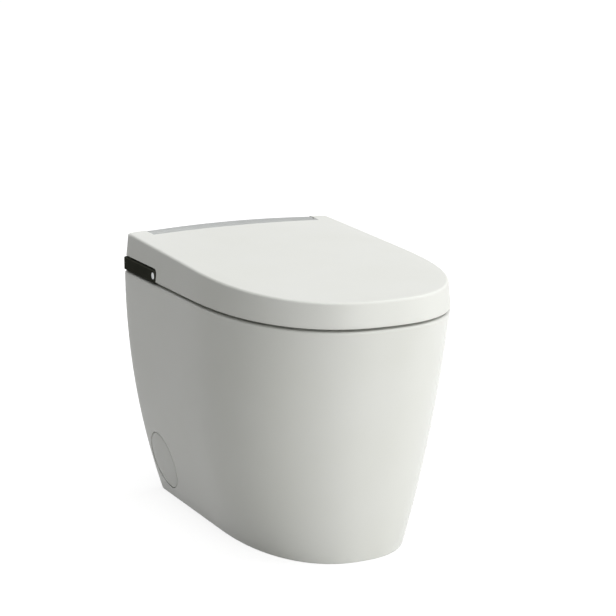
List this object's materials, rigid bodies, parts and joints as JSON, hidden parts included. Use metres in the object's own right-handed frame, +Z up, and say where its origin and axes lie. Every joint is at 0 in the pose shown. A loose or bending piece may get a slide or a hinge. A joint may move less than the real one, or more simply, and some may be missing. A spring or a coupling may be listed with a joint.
{
  "type": "bidet toilet",
  "caption": "Tankless skirted bidet toilet with a wedge-shaped lid, heated seat, black side panels, silver button, wash wands, air dryer and floor drain.",
  "frame": {"origin": "centre of the bounding box's footprint, on the floor", "axes": "+Z up, +Y to the wall behind, -Y to the user's side, -X to the seated user's right"},
  "size_m": [0.401, 0.606, 0.4718],
  "materials": {
    "glazed_white": "gloss glaze",
    "lid_white": "gloss",
    "seat_white": "gloss",
    "unit_white": "satin",
    "unit_grey": "satin",
    "panel_black": "gloss",
    "satin_silver": "satin silver",
    "bright_silver": "polished",
    "rubber_grey": "matt",
    "rubber_white": "matt",
    "steel": "brushed",
    "motor_case": "satin",
    "pipe_grey": "satin",
    "hose_black": "matt",
    "brass": "machined",
    "board_green": "satin",
    "foil": "satin"
  },
  "bodies": {
    "pan": {"ceramic_pan": "glazed_white", "side_cap_right": "lid_white", "side_cap_left": "lid_white", "trap_pipe": "pipe_grey", "trap_sleeve": "rubber_grey", "floor_seal": "rubber_grey", "unit_tray": "unit_white", "unit_cover": "unit_white", "cover_screws": "steel", "tray_bolts": "steel", "tray_nuts": "steel", "tray_washers": "rubber_grey", "rear_panel": "panel_black", "side_panel_right": "panel_black", "side_panel_left": "panel_black", "button_switch": "unit_grey", "hinge_cover": "satin_silver", "hinge_bushes": "unit_grey", "lid_motor": "motor_case", "lid_damper": "unit_grey", "seat_pins": "steel", "seat_motor": "motor_case", "seat_damper": "unit_grey", "wand_cradle": "unit_grey", "wash_motors": "motor_case", "water_heater": "unit_grey", "wash_valve": "unit_grey", "blower_housing": "unit_grey", "blower_motor": "motor_case", "dryer_duct": "unit_grey", "flush_valve": "pipe_grey", "flush_coils": "motor_case", "rim_hose": "hose_black", "jet_hose": "hose_black", "inlet_connector": "brass", "supply_hose": "hose_black", "control_box": "unit_grey", "control_box_lid": "unit_grey", "control_board": "board_green", "cord_gland": "hose_black"},
    "seat": {"seat_top": "seat_white", "seat_base": "seat_white", "seat_heater": "foil", "seat_bumpers": "rubber_white"},
    "lid_drive": {"lid_shaft": "steel"},
    "lid": {"lid_shell": "lid_white", "lid_liner": "lid_white", "lid_bumpers": "rubber_white"},
    "front_wand": {"front_wash_wand": "unit_white", "front_wash_tip": "bright_silver"},
    "rear_wand": {"rear_wash_wand": "unit_white", "rear_wash_tip": "bright_silver"},
    "front_pinion": {"front_wash_pinion": "unit_white"},
    "rear_pinion": {"rear_wash_pinion": "unit_white"},
    "fan": {"blower_impeller": "unit_white"},
    "flap": {"dryer_flap": "unit_white"},
    "button": {"side_button": "bright_silver"}
  },
  "joints": [
    {"name": "seat_hinge", "type": "hinge", "parent": "pan", "child": "seat", "pos_m": [0, 0.171, 0.419], "axis": [-1, 0, 0], "range_deg": [0, 93]},
    {"name": "lid_drive_turn", "type": "hinge", "parent": "pan", "child": "lid_drive", "pos_m": [0, 0.283, 0.452], "axis": [-1, 0, 0], "range_deg": [0, 93]},
    {"name": "lid_hinge", "type": "hinge", "parent": "lid_drive", "child": "lid", "pos_m": [0, 0.283, 0.452], "axis": [1, 0, 0], "range_deg": [-93, 0]},
    {"name": "front_wash_slide", "type": "slide", "parent": "pan", "child": "front_wand", "axis": [0, -0.9272, -0.3746], "range_m": [0, 0.08]},
    {"name": "rear_wash_slide", "type": "slide", "parent": "pan", "child": "rear_wand", "axis": [0, -0.9272, -0.3746], "range_m": [0, 0.08]},
    {"name": "front_pinion_turn", "type": "hinge", "parent": "pan", "child": "front_pinion", "pos_m": [0.0265, 0.17852, 0.39574], "axis": [0, -0.3746, 0.9272], "range_deg": [0, 654.8]},
    {"name": "rear_pinion_turn", "type": "hinge", "parent": "pan", "child": "rear_pinion", "pos_m": [-0.0265, 0.17852, 0.39574], "axis": [0, -0.3746, 0.9272], "range_deg": [-654.8, 0]},
    {"name": "fan_spin", "type": "hinge", "parent": "pan", "child": "fan", "pos_m": [0.112, 0.225, 0.415], "axis": [0, 0, 1], "continuous": true},
    {"name": "flap_hinge", "type": "hinge", "parent": "pan", "child": "flap", "pos_m": [0.063, 0.1486, 0.397], "axis": [-1, 0, 0], "range_deg": [0, 70]},
    {"name": "button_press", "type": "slide", "parent": "pan", "child": "button", "axis": [1, 0, 0], "range_m": [0, 0.0015], "stiffness_N_per_m": 600}
  ],
  "couplings": [
    {"joint": "seat_hinge", "follows": "lid_drive_turn", "ratio": 1},
    {"joint": "front_pinion_turn", "follows": "front_wash_slide", "rad_per_m": 142.86},
    {"joint": "rear_pinion_turn", "follows": "rear_wash_slide", "rad_per_m": -142.86}
  ]
}
